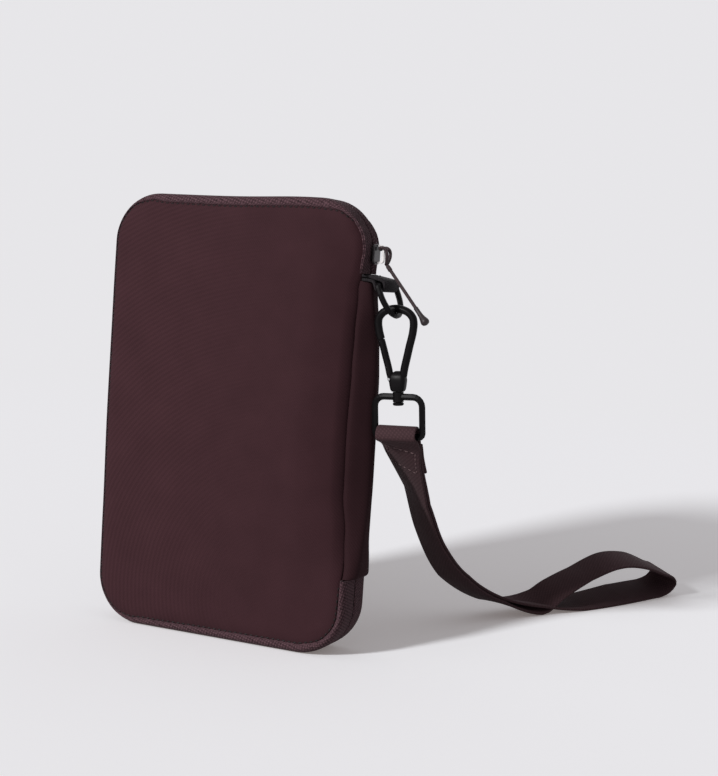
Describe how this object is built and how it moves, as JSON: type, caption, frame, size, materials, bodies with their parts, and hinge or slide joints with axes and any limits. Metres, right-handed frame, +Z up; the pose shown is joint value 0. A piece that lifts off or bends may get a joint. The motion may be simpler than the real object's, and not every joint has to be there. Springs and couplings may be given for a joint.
{
  "type": "travel document wallet",
  "caption": "Upright zip-round travel document wallet that opens like a book at its spine panel, with inner pockets, a cord zip pull and a webbing wrist strap on a swivel spring-gate clip.",
  "frame": {"origin": "middle of the flat base strip of the back half, on the surface that the wallet stands on", "axes": "+Z up along the wallet's height, +X towards the spine and the strap, +Y towards the back cover"},
  "size_m": [0.227, 0.2466, 0.2],
  "materials": {
    "cover_fabric": "fine burgundy-brown twill, slightly sheeny",
    "stiffening_foam": "grey foam-backed board",
    "lining_fabric": "plain dark lining cloth",
    "pocket_fabric": "plain lining cloth with a stitched edge",
    "zip_tape": "coarse ribbed zip tape",
    "zip_coil": "nylon coil",
    "spine_fabric": "smooth dark cloth",
    "tab_webbing": "black ribbed webbing",
    "slider_metal": "dark enamelled die-cast metal",
    "bail_metal": "bright plated metal",
    "pull_cord": "braided burgundy cord",
    "pull_tip": "soft moulded plastic, satin",
    "black_metal": "black semi-gloss plated die-cast metal",
    "pin_steel": "bare spring steel",
    "strap_webbing": "woven nylon webbing with stitched ends"
  },
  "bodies": {
    "back_cover": {"back_panel": "cover_fabric", "back_foam": "stiffening_foam", "back_lining": "lining_fabric", "passport_pocket": "pocket_fabric", "boarding_pass_pocket": "pocket_fabric", "zip_tape_back": "zip_tape", "zip_coil_back": "zip_coil"},
    "spine": {"spine_panel": "spine_fabric", "spine_lining": "lining_fabric", "strap_tab": "tab_webbing"},
    "front_cover": {"front_panel": "cover_fabric", "front_foam": "stiffening_foam", "front_lining": "lining_fabric", "card_pocket_1": "pocket_fabric", "card_pocket_2": "pocket_fabric", "card_pocket_3": "pocket_fabric", "zip_tape_front": "zip_tape", "zip_coil_front": "zip_coil"},
    "zip_slider": {"slider_body": "slider_metal", "slider_bridge": "bail_metal"},
    "puller": {"pull_cord": "pull_cord", "pull_tip": "pull_tip"},
    "d_ring": {"d_ring": "black_metal"},
    "clip": {"clip_hook": "black_metal", "gate_pin": "pin_steel", "gate_spring": "pin_steel", "swivel_post": "black_metal"},
    "gate": {"clip_gate": "black_metal"},
    "strap_link": {"strap_ring": "black_metal"},
    "strap": {"wrist_strap": "strap_webbing", "strap_end": "strap_webbing"}
  },
  "joints": [
    {"name": "spine_opens", "type": "hinge", "parent": "back_cover", "child": "spine", "pos_m": [0.063, 0.0077, 0.1], "axis": [0, 0, 1], "range_deg": [0, 90]},
    {"name": "cover_opens", "type": "hinge", "parent": "spine", "child": "front_cover", "pos_m": [0.063, -0.0173, 0.1], "axis": [0, 0, 1], "range_deg": [0, 90]},
    {"name": "slider_travel", "type": "hinge", "parent": "spine", "child": "zip_slider", "pos_m": [0.041, -0.0048, 0.178], "axis": [0, -1, 0], "range_deg": [0, 90]},
    {"name": "pull_swing", "type": "hinge", "parent": "zip_slider", "child": "puller", "pos_m": [0.06595, -0.0048, 0.1802], "axis": [0, -1, 0], "range_deg": [0, 105]},
    {"name": "d_ring_swing", "type": "hinge", "parent": "spine", "child": "d_ring", "pos_m": [0.0697, -0.0048, 0.1647], "axis": [0, -1, 0], "range_deg": [0, 30]},
    {"name": "clip_swing", "type": "hinge", "parent": "d_ring", "child": "clip", "pos_m": [0.07531, -0.0048, 0.15508], "axis": [-1, 0, 0], "range_deg": [-60, 60]},
    {"name": "gate_opens", "type": "hinge", "parent": "clip", "child": "gate", "pos_m": [0.07397, -0.00266, 0.12449], "axis": [0, 0.9976, 0.0698], "range_deg": [0, 25], "stiffness_Nm_per_rad": 0.002, "springref_deg": -11.46},
    {"name": "ring_swivel", "type": "hinge", "parent": "clip", "child": "strap_link", "pos_m": [0.07759, -0.00212, 0.11679], "axis": [-0.0593, -0.0696, 0.9958], "range_deg": [-180, 0]},
    {"name": "strap_swing", "type": "hinge", "parent": "strap_link", "child": "strap", "pos_m": [0.07863, -0.0009, 0.09927], "axis": [0.9982, -0.0041, 0.0592], "range_deg": [0, 80]}
  ],
  "couplings": [
    {"joint": "cover_opens", "follows": "spine_opens", "ratio": 1}
  ]
}
